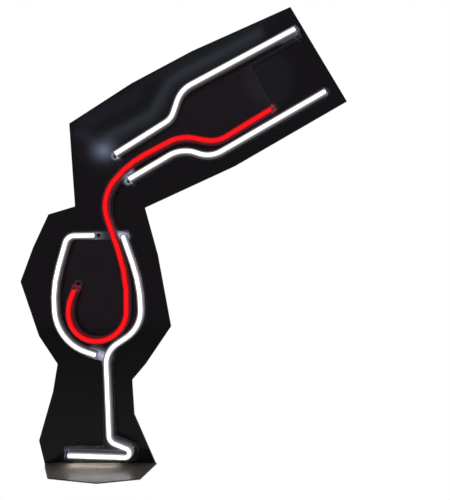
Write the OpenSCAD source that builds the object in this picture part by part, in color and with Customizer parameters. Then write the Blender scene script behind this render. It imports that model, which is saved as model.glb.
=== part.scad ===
// LED-neon advertising sign: a tilted wine bottle pouring into a wine glass.
// Millimetres. X runs right and Z up as a viewer sees it; the front faces -Y.
// The wall is the plane y = 0, and the origin is the mouth of the first wall boss.

/* [Light tubes] */
// width of the silicone tube
tube_w = 7.6; // [6:0.2:10]
// height of the silicone tube above the groove floor
tube_h = 12; // [10:0.5:16]
// thickness of the silicone beside the channel for the LED strip
tube_wall = 1.1; // [0.8:0.1:1.6]
// height of the channel for the LED strip
channel_h = 4; // [3:0.5:6]
// distance from one LED to the next along a strip
led_pitch = 16.6; // [8:0.1:33]
// length of the clear cap on a wired white tube end
wired_cap = 1.2; // [1:0.2:3]
// length of the clear cap on a closed white tube end
closed_cap = 1.6; // [1:0.2:4]
// length of the clear caps on the red tube
wine_cap = 5; // [3:0.2:6]

/* [Clear carrier] */
// thickness of the clear plate that holds the tubes
carrier_t = 5; // [4:0.5:8]
// width of the groove each tube lies in
groove_w = 8.2; // [6.4:0.1:11]
// depth of the groove
groove_depth = 3; // [2:0.5:4]
// clear plate left outside the middle line of a tube
carrier_rim = 5.6; // [5:0.2:9]
// gap from the backing panel to the clear plate
carrier_gap = 6; // [4:1:12]

/* [Backing panel] */
// thickness of the black panel
panel_t = 4; // [3:0.5:6]
// gap from the wall to the back of the panel
wall_gap = 25; // [22:1:40]
// thickness of the ledge under the glass
ledge_t = 5; // [4:0.5:8]
// thickness left at the ledge's front edge under its bevel
ledge_lip = 1.2; // [1:0.1:4]

/* [Wall bosses] */
// diameter of a wall boss
boss_d = 18; // [14:1:26]
// diameter of the wall stud that a boss slips over
stud_d = 5; // [4:0.5:8]
// depth of the hole in a boss
boss_depth = 18; // [10:1:20]

/* [Leads and control box] */
// diameter of one insulated lead
lead_d = 1.6; // [1.2:0.1:2.4]
// distance between the two leads of a pair
lead_pitch = 2.4; // [2.3:0.1:2.5]
// diameter of the hole in the clear plate for a pair of leads
lead_hole = 4.2; // [4.2:0.2:6]
// diameter of the hole in the panel for one lead
panel_hole = 1.8; // [1.7:0.1:2.2]
// diameter of the spacers between the panel and the clear plate
spacer_d = 7; // [5:0.5:9]
// diameter of the dimmer knob
knob_d = 14; // [10:1:16]
// diameter of the power button
button_d = 8; // [6:0.5:10]
// how far the power button goes in
button_travel = 1.2; // [0.8:0.1:2]

/* [Hidden] */
$fn = 48;

// depth stack, from the wall forwards
panel_back = -wall_gap;
panel_front = panel_back - panel_t;
carrier_back = panel_front - carrier_gap;
carrier_front = carrier_back - carrier_t;
floor_y = carrier_front + groove_depth;
lead_front_y = floor_y - 2;
lead_back_y = panel_back + 4;

black = [0.03, 0.03, 0.035];
clear = [0.8, 0.85, 0.9, 0.35];
white = [0.95, 0.95, 0.95];
red = [0.9, 0.05, 0.06];
copper = [0.8, 0.65, 0.4];
steel = [0.6, 0.6, 0.62];

// Routes. Each corner is [x, z, bend radius]; the ends have radius 0.
// The first point of a route is its wired end.
bottle_top = [[-71, -58.8, 0], [-14.2, -23.2, 19.9], [-4.4, 6.3, 30.1], [112.2, 68.7, 0]];
bottle_base = [[-57, -84.7, 0], [-2.8, -52.6, 33.6], [25.7, -63, 28.3], [143.4, 4.9, 0]];
wine = [[-113.5, -198.6, 0], [-119.6, -214, 40.4], [-118.3, -251.6, 27.8], [-62, -250.1, 30.7],
        [-58.1, -187.8, 166], [-86.9, -104.7, 41.5], [-59.3, -69.4, 101.4], [-4.5, -40.3, 39.3],
        [32.4, -47.2, 30.8], [87.4, -13.6, 0]];
glass_bowl = [[-93, -142.6, 0], [-120.5, -142.9, 10], [-136, -198, 121.3],
              [-129.9, -252.7, 47.7], [-91.6, -265.1, 0]];
glass_stem = [[-119.5, -367.9, 0], [-36.1, -370.8, 4.6], [-77.6, -353.7, 9.5], [-81.2, -261.3, 23.8],
              [-45.2, -237, 33.4], [-45.8, -194.1, 149.2], [-63.7, -143, 0]];

// The faceted edge of the black panel, clockwise from the top corner.
panel_edge = [[109.6, 97.8], [168.9, -1.3], [51.2, -69.3], [-43.4, -113], [-29.6, -163.2], [-15.8, -237.9],
              [-41.9, -276.6], [-56.8, -294.3], [-54.4, -330.7], [-31.8, -382.2], [-36, -386], [-147.4, -386],
              [-154.3, -357.5], [-139.7, -306.5], [-134.9, -277.2], [-154.4, -247.8], [-173.8, -190.8],
              [-160.5, -154.6], [-144.5, -120.1], [-116.6, -111.7], [-122.7, -24.7], [-57.6, 17.4],
              [6.1, 51.4]];

// The ledge seen from above: x, then distance in front of the panel.
ledge_top = -381;
ledge_edge = [[-148.4, 0], [-132.5, 49.3], [-82.5, 64.1], [-42, 51.2], [-30.6, 0]];
ledge_bevel = 12.7;
ledge_screw_x = [-125, -90, -55];

boss_at = [[0, 0], [118, 30], [-138, -205], [-100, -340]];
// The spacers stand under the tubes, where the light hides them.
spacer_at = [[-54.4, -47], [20, 21], [89, 57], [-36.4, -71.1], [61.5, -41], [125.5, -4.5], [-60.5, -216],
             [-135.5, -213.5], [-110, -142.5], [-100, -370.3], [-80.7, -308], [-46.5, -216], [-60.4, -156.5]];

// Control box on the back of the panel: low corner, high corner, and its walls.
box_lo = [-104, -232];
box_hi = [-44, -152];
box_wall = 2;
box_back = panel_back + 1;
box_rim = box_back + 17;
board_y = box_back + 5.4;
knob_z = -172;
button_z = -200;
control_y = box_back + 10;
inlet_x = -66;

// ---------- routes ----------
function unit(v) = v / norm(v);
function left(v) = [-v.y, v.x];
function xz(p) = [p.x, p.y];

// points round one bend, from the leg towards a to the leg towards c
function bend(a, b, c, r) = let(
    u = unit(a - b), v = unit(c - b),
    half = acos(u * v) / 2,
    centre = b + unit(u + v) * r / sin(half),
    p = b + u * r / tan(half) - centre,
    a0 = atan2(p.y, p.x),
    turn = (180 - 2 * half) * (u.x * v.y - u.y * v.x > 0 ? -1 : 1),
    n = max(2, ceil(abs(turn) / (r < 12 ? 15 : 7.5))))
    [for (i = [0:n]) centre + r * [cos(a0 + turn * i / n), sin(a0 + turn * i / n)]];

function path(route) = let(n = len(route) - 1) concat(
    [xz(route[0])],
    [for (i = [1:1:n - 1]) each bend(xz(route[i - 1]), xz(route[i]), xz(route[i + 1]), route[i].z)],
    [xz(route[n])]);

function along(p, i) = unit(p[i + 1] - p[i]);
function mitre(p, i) = let(
    a = left(along(p, max(i - 1, 0))),
    b = left(along(p, min(i, len(p) - 2)))) (a + b) / (1 + a * b);
function side(p, d) = [for (i = [0:len(p) - 1]) p[i] + d * mitre(p, i)];
function reversed(v) = [for (i = [len(v) - 1:-1:0]) v[i]];
function band(p, l, r) = concat(side(p, l), reversed(side(p, -r)));
function longer(p, a, b) = let(n = len(p) - 1) concat(
    [p[0] - a * along(p, 0)], [for (i = [1:1:n - 1]) p[i]], [p[n] + b * along(p, n - 1)]);
function length_of(p) = len(p) < 2 ? 0 : norm(p[1] - p[0]) + length_of([for (i = [1:1:len(p) - 1]) p[i]]);
// place and direction at distance s along p
function place(p, s, i = 0) = let(d = norm(p[i + 1] - p[i]))
    (s <= d || i == len(p) - 2) ? [p[i] + s * along(p, i), along(p, i)] : place(p, s - d, i + 1);

ROUTES = [path(bottle_top), path(bottle_base), path(wine), path(glass_bowl), path(glass_stem)];
// cap lengths of each route: wired end, closed end
CAPS = [[wired_cap, closed_cap], [wired_cap, closed_cap], [wine_cap, wine_cap],
        [wired_cap, closed_cap], [wired_cap, closed_cap]];
// where the pair of leads of route k dives through the plate and the panel
function lead_point(k) = ROUTES[k][0] - (CAPS[k][0] + 1.4) * along(ROUTES[k], 0);

// one lead of that pair
function lead_foot(k, s) = lead_point(k) + s * lead_pitch / 2 * left(along(ROUTES[k], 0));

// a band of half width r round p with round ends
function end_arc(c, d, r) = [for (i = [1:5]) let(a = atan2(d.y, d.x) + 90 - i * 30) c + r * [cos(a), sin(a)]];
function round_band(p, r) = let(n = len(p) - 1) concat(
    side(p, r), end_arc(p[n], along(p, n - 1), r),
    reversed(side(p, -r)), end_arc(p[0], -along(p, 0), r));

// ---------- helpers ----------
// a flat shape drawn in X and Z, standing forwards from y = back by t
module plate(back, t) {
    translate([0, back, 0]) rotate([90, 0, 0]) linear_extrude(t) children();
}

// a solid that follows p; section points are [sideways, forwards from y0]
module swept(p, section, y0) {
    n = len(p);
    m = len(section);
    points = [for (i = [0:n - 1]) let(k = mitre(p, i))
              for (s = section) [p[i].x + s.x * k.x, y0 - s.y, p[i].y + s.x * k.y]];
    polyhedron(points, concat(
        [[for (j = [m - 1:-1:0]) j]],
        [[for (j = [0:m - 1]) (n - 1) * m + j]],
        [for (i = [0:n - 2]) for (j = [0:m - 1])
            [i * m + j, i * m + (j + 1) % m, (i + 1) * m + (j + 1) % m, (i + 1) * m + j]]), 8);
}

// a round bar along Y from y = a forwards to y = b
module bar_y(x, z, r, a, b) {
    translate([x, a, z]) rotate([90, 0, 0]) cylinder(r = r, h = a - b);
}

// ---------- tubes, strips, LEDs and caps ----------
hw = tube_w / 2;
crown = [[-hw, tube_h - 3.4], [-hw * 0.93, tube_h - 2.2], [-hw * 0.72, tube_h - 1],
         [-hw * 0.38, tube_h - 0.25], [0, tube_h], [hw * 0.38, tube_h - 0.25],
         [hw * 0.72, tube_h - 1], [hw * 0.93, tube_h - 2.2],
         [hw, tube_h - 3.4]];
cw = hw - tube_wall;
// the channel's mouth is eased by 0.1 mm
tube_section = concat([[-hw, 0]], crown, [[hw, 0], [cw, 0.1], [cw, channel_h], [-cw, channel_h], [-cw, 0.1]]);
solid_section = concat([[-hw, 0]], crown, [[hw, 0]]);

module tube(p) {
    swept(p, tube_section, floor_y);
}

module strip(p) {
    plate(floor_y, 0.3) polygon(band(longer(p, -1, -1), 2.4, 2.4));
}

module leds(p) {
    n = floor((length_of(p) - 10) / led_pitch);
    start = (length_of(p) - n * led_pitch) / 2;
    for (i = [0:n]) {
        at = place(p, start + i * led_pitch);
        translate([at[0].x, floor_y - 0.3, at[0].y])
            rotate([0, -atan2(at[1].y, at[1].x), 0])
            translate([-1.75, -0.7, -1.4]) cube([3.5, 0.7, 2.8]);
    }
}

module caps(k) {
    p = ROUTES[k];
    d = along(p, 0);
    difference() {
        swept([p[0] - CAPS[k][0] * d, p[0]], solid_section, floor_y);
        for (s = [-1, 1]) lead_front(k, s, lead_d + 0.2);
    }
    n = len(p) - 1;
    swept([p[n], p[n] + CAPS[k][1] * along(p, n - 1)], solid_section, floor_y);
}

// ---------- clear carrier ----------
// the part of the bottle, bowl, stem and foot that the plate fills
bottle_fill = [[-76, -54], [-15, -23], [-5.5, 2.5], [4.5, 12.5], [62.5, 41.5], [91.5, -12.5],
               [27, -61.5], [-5, -53.5], [-62, -88]];
bowl_fill = [[-120.5, -138], [-61.5, -137.5], [-46, -196], [-46, -236.5], [-81.5, -262], [-84.5, -273],
             [-115, -260.5], [-133, -240], [-135.5, -195]];
// the fill ends round, about the tight bend at the right end of the foot
foot_turn = [-59.3, -366.2];
foot_fill = concat([[-86, -268], [-77.5, -268], [-73.8, -351]],
                   [for (i = [0:13]) foot_turn + 10.2 * [cos(75 - i * 13), sin(75 - i * 13)]],
                   [[-125.5, -373.9], [-125.5, -361.6], [-84.5, -361.6]]);

// the stretch of route k under the tube, from hole to closed cap
function seat(k, a, b) = longer(ROUTES[k], CAPS[k][0] + 1.4 + a, CAPS[k][1] - 1 + b);

module carrier_shape() {
    r = carrier_rim;
    polygon(bottle_fill);
    polygon(bowl_fill);
    polygon(foot_fill);
    polygon(round_band(seat(0, 0, 0), r));
    polygon(round_band(seat(1, 0, 0), r));
    polygon(round_band(seat(2, 0, 0), r));
    polygon(round_band(seat(3, 17, 0), r));
    polygon(band(longer(ROUTES[0], -30, 4.5), r, 8.6));
    polygon(band(longer(stem_above_foot(), 0, 5), r, r));
}

function stem_above_foot() = [for (i = [12:1:len(ROUTES[4]) - 1]) ROUTES[4][i]];

module groove_shape() {
    g = groove_w / 2;
    polygon(round_band(seat(0, 0, 0), g));
    polygon(round_band(seat(1, 0, 0), g));
    polygon(round_band(seat(2, 0, 0), g));
    polygon(round_band(seat(3, 25, 0), g));
    polygon(band([[-95, -264], [-82, -268.2]], g, g));
    polygon(round_band(seat(4, 0, 0), g));
}

module carrier_plate() {
    color(clear) difference() {
        plate(carrier_back, carrier_t) carrier_shape();
        plate(floor_y, groove_depth + 1) groove_shape();
        for (k = [0:4]) let(c = lead_point(k))
            bar_y(c.x, c.y, lead_hole / 2, carrier_back + 1, carrier_front - 1);
    }
}

module carrier_spacers() {
    color(clear) for (p = spacer_at) bar_y(p.x, p.y, spacer_d / 2, panel_front, carrier_back);
}

// ---------- panel, ledge and bosses ----------
module backing_panel() {
    color(black) difference() {
        plate(panel_back, panel_t) polygon(panel_edge);
        for (k = [0:4], s = [-1, 1]) let(b = lead_foot(k, s))
            bar_y(b.x, b.y, panel_hole / 2, panel_back + 1, panel_front - 1);
        for (x = ledge_screw_x) {
            bar_y(x, ledge_top - ledge_t / 2, 1.6, panel_back + 1, panel_front - 1);
            translate([x, panel_back, ledge_top - ledge_t / 2]) rotate([90, 0, 0])
                cylinder(r1 = 2.4, r2 = 1.4, h = 1.6);
        }
    }
}

module ledge_screws() {
    color(steel) for (x = ledge_screw_x)
        translate([x, panel_back, ledge_top - ledge_t / 2]) rotate([90, 0, 0]) {
            cylinder(r1 = 2.3, r2 = 1.3, h = 1.6);
            cylinder(r = 1.3, h = 16);
        }
}

// where the line through a along d meets the line through b along e
function crossing(a, d, b, e) = a + d * (left(e) * (b - a)) / (left(e) * d);

// Only the left side is square below; the others are bevelled from a thin lip to the flat underside.
module foot_ledge() {
    edge = [for (p = ledge_edge) [p.x, panel_front - p.y]];
    n = len(edge);
    inner = [for (i = [1:n - 2]) edge[i] + ledge_bevel * left(along(edge, i))];
    below = concat([edge[0], crossing(edge[0], along(edge, 0), inner[0], along(edge, 1))],
                   [for (i = [1:n - 3]) crossing(inner[i - 1], along(edge, i), inner[i], along(edge, i + 1))],
                   [crossing(inner[n - 3], along(edge, n - 2), edge[n - 1], [1, 0])]);
    points = concat([for (p = edge) [p.x, p.y, ledge_top]],
                    [for (i = [1:n - 1]) [edge[i].x, edge[i].y, ledge_top - ledge_lip]],
                    [for (p = below) [p.x, p.y, ledge_top - ledge_t]]);
    lip = n - 1;
    low = 2 * n - 1;
    color(black) difference() {
        polyhedron(points, concat(
            [[for (i = [n - 1:-1:0]) i], [for (i = [0:n - 1]) low + i]],
            [[0, 1, lip + 1, low + 1, low], [n - 1, 0, low, low + n - 1, lip + n - 1]],
            [for (i = [1:n - 2]) [i, i + 1, lip + i + 1, lip + i]],
            [for (i = [1:n - 2]) [lip + i, lip + i + 1, low + i + 1, low + i]]), 4);
        for (x = ledge_screw_x) bar_y(x, ledge_top - ledge_t / 2, 1.35, panel_front + 1, panel_back - 18);
    }
}

module wall_bosses() {
    color(black) for (p = boss_at) difference() {
        bar_y(p.x, p.y, boss_d / 2, 0, panel_back);
        bar_y(p.x, p.y, stud_d / 2 + 0.1, 1, -boss_depth);
    }
}

// ---------- leads ----------
// back of the panel, from each tube's hole to the place under the board where it is soldered
lead_routes = [for (k = [0:4]) concat([[lead_point(k).x, lead_point(k).y, 0]], [
    [[-73.2, -164, 0]],
    [[-59.2, -164, 0]],
    [[-94, -192.6, 0]],
    [[-90.4, -164, 0]],
    [[-122.1, -296, 8], [-92, -258, 8], [-92, -222, 0]]][k])];

// A wire is an eight-sided ring that slides along 3-D points, cut at each one on the plane between its legs.
function toward(p, i) = unit(p[i + 1] - p[i]);
function slide(r, d, c, n) = [for (q = r) q + d * (((c - q) * n) / (d * n))];
function rings(p, r, i = 0) = i == len(p) - 1 ? [r] : let(
    d = toward(p, i),
    n = i == len(p) - 2 ? d : unit(d + toward(p, i + 1)))
    concat([r], rings(p, slide(r, d, p[i + 1], n), i + 1));

module wire(p, r) {
    d = toward(p, 0);
    start = [for (i = [0:7]) let(a = i * 45 + 22.5) p[0] + r * [d.z * cos(a), -sin(a), -d.x * cos(a)]];
    points = [for (q = rings(p, start)) each q];
    m = 8;
    n = len(p);
    polyhedron(points, concat(
        [[for (j = [m - 1:-1:0]) j]],
        [[for (j = [0:m - 1]) (n - 1) * m + j]],
        [for (i = [0:n - 2]) for (j = [0:m - 1])
            [i * m + j, i * m + (j + 1) % m, (i + 1) * m + (j + 1) % m, (i + 1) * m + j]]), 8);
}

module octagon_bar(a, b, r) {
    v = b - a;
    translate(a) rotate([0, acos(v.z / norm(v)), atan2(v.y, v.x)]) cylinder(r = r, h = norm(v), $fn = 8);
}

// the lead inside the tube's channel and its cap, up to the hole
module lead_front(k, s, d = lead_d) {
    t = along(ROUTES[k], 0);
    a = ROUTES[k][0] + 4 * t + s * lead_pitch / 2 * left(t);
    b = lead_point(k) + s * lead_pitch / 2 * left(t) - lead_d / 2 * t;
    octagon_bar([a.x, lead_front_y, a.y], [b.x, lead_front_y, b.y], d / 2);
}

// On the back a pair may lie the other way round, so that its leads never cross.
module leads(s) {
    for (k = [0:4]) {
        t = along(ROUTES[k], 0);
        a = ROUTES[k][0] + 4 * t + s * lead_pitch / 2 * left(t);
        b = lead_foot(k, s);
        q = path(lead_routes[k]);
        u = (t * along(q, 0) < -0.001 ? -s : s) * lead_pitch / 2;
        back = side(q, u);
        e = back[len(back) - 1];
        wire(concat([[a.x, lead_front_y, a.y], [b.x, lead_front_y, b.y], [b.x, panel_back, b.y]],
                    [for (p = back) [p.x, lead_back_y, p.y]], [[e.x, board_y, e.y]]), lead_d / 2);
    }
}

clip_at = [[-73.2, -100, 0], [-73.2, -132, 0], [-59.2, -118, 0], [-122.1, -345, 0], [-122.1, -312, 0],
           [-107.05, -277, 38.4]];

module lead_clips() {
    color(black) for (c = clip_at)
        translate([c.x, panel_back, c.y]) rotate([0, c.z, 0]) difference() {
            translate([-5, 0, -4]) cube([10, 6.2, 8]);
            translate([-2.3, 2.9, -5]) cube([4.6, 2.2, 10]);
            translate([-0.6, 4, -5]) cube([1.2, 4, 10]);
        }
}

// ---------- control box ----------
module box_block(lo, hi, a, b) {
    translate([lo.x, a, lo.y]) cube([hi.x - lo.x, b - a, hi.y - lo.y]);
}

posts = [[box_lo.x + 5.5, box_lo.y + 5.5], [box_hi.x - 5.5, box_lo.y + 5.5],
         [box_lo.x + 5.5, box_hi.y - 5.5], [box_hi.x - 5.5, box_hi.y - 5.5]];

module box_tape() {
    color([0.15, 0.15, 0.16]) for (z = [-222, -172])
        box_block([-100, z - 6], [-48, z + 6], panel_back, box_back);
}

// the rib from a post to the nearer side wall
module post_rib(p, reach, half, a, b) {
    outer = p.x + (p.x < (box_lo.x + box_hi.x) / 2 ? -reach : reach);
    box_block([min(p.x, outer), p.y - half], [max(p.x, outer), p.y + half], a, b);
}

module box_base() {
    w = box_wall;
    color(black) difference() {
        union() {
            difference() {
                box_block(box_lo, box_hi, box_back, box_rim);
                box_block(box_lo + [w, w], box_hi - [w, w], box_back + w, box_rim + 1);
            }
            for (p = posts) bar_y(p.x, p.y, 3.6, box_rim - 2, box_back + 1);
            for (p = posts) post_rib(p, 4.5, 1.5, box_back + 1, box_rim - 2);
        }
        for (p = posts) bar_y(p.x, p.y, 1.3, box_rim + 1, box_back + 3);
        for (x = [-90.4, -73.2, -59.2])
            box_block([x - 2.2, box_hi.y - 3], [x + 2.2, box_hi.y + 1], box_back + w, box_back + w + 2);
        box_block([-92 - 2.2, box_lo.y - 1], [-92 + 2.2, box_lo.y + 3], box_back + w, box_back + w + 2);
        box_block([box_lo.x - 1, -194.8], [box_lo.x + 3, -190.4], box_back + w, box_back + w + 2);
        translate([box_hi.x - 3, control_y, knob_z]) rotate([0, 90, 0]) cylinder(r = 4.1, h = 4);
        translate([box_hi.x - 3, control_y, button_z]) rotate([0, 90, 0])
            cylinder(r = button_d / 2 + 0.35, h = 4);
        translate([inlet_x, control_y, box_lo.y - 1]) cylinder(r = 5.1, h = 4);
    }
}

module box_lid() {
    w = box_wall;
    color(black) difference() {
        union() {
            box_block(box_lo, box_hi, box_rim, box_rim + w);
            difference() {
                box_block(box_lo + [w + 0.2, w + 0.2], box_hi - [w + 0.2, w + 0.2], box_rim - 1.5, box_rim);
                box_block(box_lo + [w + 1.6, w + 1.6], box_hi - [w + 1.6, w + 1.6], box_rim - 2, box_rim);
            }
        }
        for (p = posts) {
            bar_y(p.x, p.y, 1.6, box_rim + w + 1, box_rim - 3);
            bar_y(p.x, p.y, 2.7, box_rim + w + 1, box_rim + 0.8);
        }
        for (i = [0:5]) box_block([-86 + i * 4, -212], [-84 + i * 4, -186], box_rim - 3, box_rim + w + 1);
    }
}

module box_screws() {
    color(steel) for (p = posts) difference() {
        union() {
            bar_y(p.x, p.y, 2.5, box_rim + box_wall - 0.1, box_rim + 0.8);
            bar_y(p.x, p.y, 1.25, box_rim + 0.8, box_rim - 10);
        }
        translate([p.x - 0.4, box_rim + box_wall - 0.7, p.y - 2]) cube([0.8, 1, 4]);
        translate([p.x - 2, box_rim + box_wall - 0.7, p.y - 0.4]) cube([4, 1, 0.8]);
    }
}

module control_board() {
    color([0.05, 0.3, 0.16]) difference() {
        box_block([-101, -229], [-55.5, -155], board_y, board_y + 1.6);
        for (p = posts) bar_y(p.x, p.y, 3.9, board_y + 3, board_y - 2);
        for (p = posts) post_rib(p, 5, 1.8, board_y - 1, board_y + 3);
        box_block([inlet_x - 5.2, -230], [inlet_x + 5.2, -226.8], board_y - 1, board_y + 3);
    }
}

module board_parts() {
    top = board_y + 1.6;
    color([0.12, 0.12, 0.13]) {
        box_block([-92, -182], [-84, -174], top, top + 2.2);
        box_block([-78, -186], [-70, -178], top, top + 4.5);
        bar_y(-90, -206, 4, top + 7.5, top);
        bar_y(-80, -206, 4, top + 7.5, top);
        box_block([-92, -170], [-60, -162], top, top + 3);
    }
}

module dc_inlet() {
    color([0.1, 0.1, 0.1]) difference() {
        union() {
            box_block([inlet_x - 5.5, -229], [inlet_x + 5.5, -216], board_y + 1.6, control_y + 5.5);
            translate([inlet_x, control_y, -233]) cylinder(r = 4.8, h = 6);
        }
        translate([inlet_x, control_y, -234]) cylinder(r = 2.9, h = 12);
    }
}

module inlet_pin() {
    color(steel) translate([inlet_x, control_y, -231.5]) cylinder(r = 1, h = 9.5);
}

module dimmer_body() {
    color([0.2, 0.3, 0.5]) difference() {
        union() {
            box_block([-56.5, knob_z - 6], [-48.5, knob_z + 6], board_y + 1.6, control_y + 6);
            translate([-48.5, control_y, knob_z]) rotate([0, 90, 0]) cylinder(r = 3.9, h = 5);
        }
        translate([-55, control_y, knob_z]) rotate([0, 90, 0]) cylinder(r = 3, h = 14);
    }
}

module dimmer_shaft() {
    color(steel) difference() {
        translate([-54.5, control_y, knob_z]) rotate([0, 90, 0]) cylinder(r = 2.95, h = 19);
        translate([-42.8, control_y + 1.5, knob_z - 4]) cube([8, 3, 8]);
    }
}

module dimmer_knob() {
    color([0.06, 0.06, 0.065]) difference() {
        union() {
            translate([-42.8, control_y, knob_z]) rotate([0, 90, 0]) cylinder(r = knob_d / 2, h = 9);
            for (i = [1:15]) translate([-42, control_y, knob_z]) rotate([90 + i * 22.5, 0, 0])
                translate([0, -0.5, 0]) cube([7.4, 1, knob_d / 2 + 0.4]);
        }
        difference() {
            translate([-44, control_y, knob_z]) rotate([0, 90, 0]) cylinder(r = 3, h = 8.8);
            translate([-42.6, control_y + 1.55, knob_z - 4]) cube([8, 3, 8]);
        }
        translate([-34.3, control_y - 0.5, knob_z + 1.5]) cube([1, 1, 5]);
    }
}

module switch_body() {
    color([0.15, 0.15, 0.16]) difference() {
        box_block([-60, button_z - 4], [-52, button_z + 4], board_y + 1.6, control_y + 4);
        translate([-57, control_y - 2, button_z - 2]) cube([8, 4, 4]);
    }
}

module power_button() {
    color([0.85, 0.85, 0.86]) {
        translate([-48.6, control_y, button_z]) rotate([0, 90, 0]) cylinder(r = button_d / 2, h = 8);
        translate([-55, control_y - 1.7, button_z - 1.7]) cube([7, 3.4, 3.4]);
    }
}

// ---------- one module per light-tube piece ----------
module tube_bottle_top() { color(white) tube(ROUTES[0]); }
module tube_bottle_base() { color(white) tube(ROUTES[1]); }
module tube_wine() { color(red) tube(ROUTES[2]); }
module tube_glass_bowl() { color(white) tube(ROUTES[3]); }
module tube_glass_stem() { color(white) tube(ROUTES[4]); }
module strip_bottle_top() { color(copper) strip(ROUTES[0]); }
module strip_bottle_base() { color(copper) strip(ROUTES[1]); }
module strip_wine() { color(copper) strip(ROUTES[2]); }
module strip_glass_bowl() { color(copper) strip(ROUTES[3]); }
module strip_glass_stem() { color(copper) strip(ROUTES[4]); }
module leds_bottle_top() { color(white) leds(ROUTES[0]); }
module leds_bottle_base() { color(white) leds(ROUTES[1]); }
module leds_wine() { color(red) leds(ROUTES[2]); }
module leds_glass_bowl() { color(white) leds(ROUTES[3]); }
module leds_glass_stem() { color(white) leds(ROUTES[4]); }
module caps_bottle_top() { color(clear) caps(0); }
module caps_bottle_base() { color(clear) caps(1); }
module caps_wine() { color(clear) caps(2); }
module caps_glass_bowl() { color(clear) caps(3); }
module caps_glass_stem() { color(clear) caps(4); }
module leads_red() { color([0.7, 0.05, 0.05]) leads(1); }
module leads_black() { color([0.05, 0.05, 0.05]) leads(-1); }

backing_panel();
foot_ledge();
ledge_screws();
wall_bosses();
carrier_plate();
carrier_spacers();
tube_bottle_top();
tube_bottle_base();
tube_wine();
tube_glass_bowl();
tube_glass_stem();
strip_bottle_top();
strip_bottle_base();
strip_wine();
strip_glass_bowl();
strip_glass_stem();
leds_bottle_top();
leds_bottle_base();
leds_wine();
leds_glass_bowl();
leds_glass_stem();
caps_bottle_top();
caps_bottle_base();
caps_wine();
caps_glass_bowl();
caps_glass_stem();
leads_red();
leads_black();
lead_clips();
box_tape();
box_base();
box_lid();
box_screws();
control_board();
board_parts();
dc_inlet();
inlet_pin();
dimmer_body();
dimmer_shaft();
dimmer_knob();
switch_body();
power_button();
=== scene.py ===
# %% [markdown]
# # An LED-neon bar sign: a bottle pours wine into a glass
# The sign is a black acrylic panel with straight, faceted edges, a clear acrylic plate standing a little
# in front of it, and silicone light tubes lying in grooves milled into that plate. Everything hard
# already has its true size in the frame that is loaded here. This file makes the rounded light tubes,
# their ends, the leads, the knob and the button in finer shape, gives every piece its finish, and lights
# the scene.

# %% Load the frame
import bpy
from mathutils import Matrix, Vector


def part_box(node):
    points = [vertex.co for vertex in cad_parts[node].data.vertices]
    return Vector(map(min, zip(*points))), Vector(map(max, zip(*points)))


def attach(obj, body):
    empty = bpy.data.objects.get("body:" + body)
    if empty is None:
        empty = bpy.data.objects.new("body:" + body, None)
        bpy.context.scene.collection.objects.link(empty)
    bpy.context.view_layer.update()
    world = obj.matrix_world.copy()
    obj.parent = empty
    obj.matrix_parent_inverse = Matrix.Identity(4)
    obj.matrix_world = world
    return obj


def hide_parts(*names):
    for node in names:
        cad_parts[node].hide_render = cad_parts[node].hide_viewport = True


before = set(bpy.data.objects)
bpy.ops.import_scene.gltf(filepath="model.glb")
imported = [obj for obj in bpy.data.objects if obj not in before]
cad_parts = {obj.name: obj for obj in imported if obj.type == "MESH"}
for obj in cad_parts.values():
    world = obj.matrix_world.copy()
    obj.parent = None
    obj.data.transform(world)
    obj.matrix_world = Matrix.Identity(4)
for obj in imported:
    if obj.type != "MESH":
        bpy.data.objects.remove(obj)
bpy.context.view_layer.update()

from math import pi, radians, tan
import bpy
import bmesh
from mathutils import Matrix, Vector

MM = 0.001

# %% [markdown]
# ## The camera
# A sign on a wall is looked at square on. The camera stands level in front of it, three quarters of a
# metre from the panel, which is near enough for the ledge below the glass to show its upper face and for
# the tubes on the left and right to show a little of their inner sides. A longer lens from further away
# would flatten both.

# %% Camera
PANEL_FRONT = -29 * MM
view_from = Vector((40.95, -779, -157.5)) * MM

camera = bpy.data.objects.new("camera", bpy.data.cameras.new("camera"))
camera.data.lens = 51.43
camera.data.clip_end = 50
camera.location = view_from
camera.rotation_euler = (pi / 2, 0, 0)
bpy.context.scene.collection.objects.link(camera)
bpy.context.scene.camera = camera
print("camera stands", round(PANEL_FRONT - view_from.y, 3), "m in front of the panel")

# %% [markdown]
# ## The routes of the tubes
# A sign maker draws each tube as straight lines joined by bends. The same few corners are used here: x
# and z in millimetres and the radius of the bend at that corner. The first point is the end where the
# leads go in. Storing corners, and not a long list of points, keeps every bend truly round however finely
# it is cut.

# %% Corners of the five tubes
ROUTES = {
    "bottle_top": [(-71, -58.8, 0), (-14.2, -23.2, 19.9), (-4.4, 6.3, 30.1), (112.2, 68.7, 0)],
    "bottle_base": [(-57, -84.7, 0), (-2.8, -52.6, 33.6), (25.7, -63, 28.3), (143.4, 4.9, 0)],
    "wine": [(-113.5, -198.6, 0), (-119.6, -214, 40.4), (-118.3, -251.6, 27.8), (-62, -250.1, 30.7),
             (-58.1, -187.8, 166), (-86.9, -104.7, 41.5), (-59.3, -69.4, 101.4), (-4.5, -40.3, 39.3),
             (32.4, -47.2, 30.8), (87.4, -13.6, 0)],
    "glass_bowl": [(-93, -142.6, 0), (-120.5, -142.9, 10), (-136, -198, 121.3), (-129.9, -252.7, 47.7),
                   (-91.6, -265.1, 0)],
    "glass_stem": [(-119.5, -367.9, 0), (-36.1, -370.8, 4.6), (-77.6, -353.7, 9.5), (-81.2, -261.3, 23.8),
                   (-45.2, -237, 33.4), (-45.8, -194.1, 149.2), (-63.7, -143, 0)],
}
GROOVE_FLOOR, PLATE_FRONT = -37, -40
TUBE_W, TUBE_H = 7.6, 12.0
print("tubes:", len(ROUTES), "corners:", sum(len(route) for route in ROUTES.values()))


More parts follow.
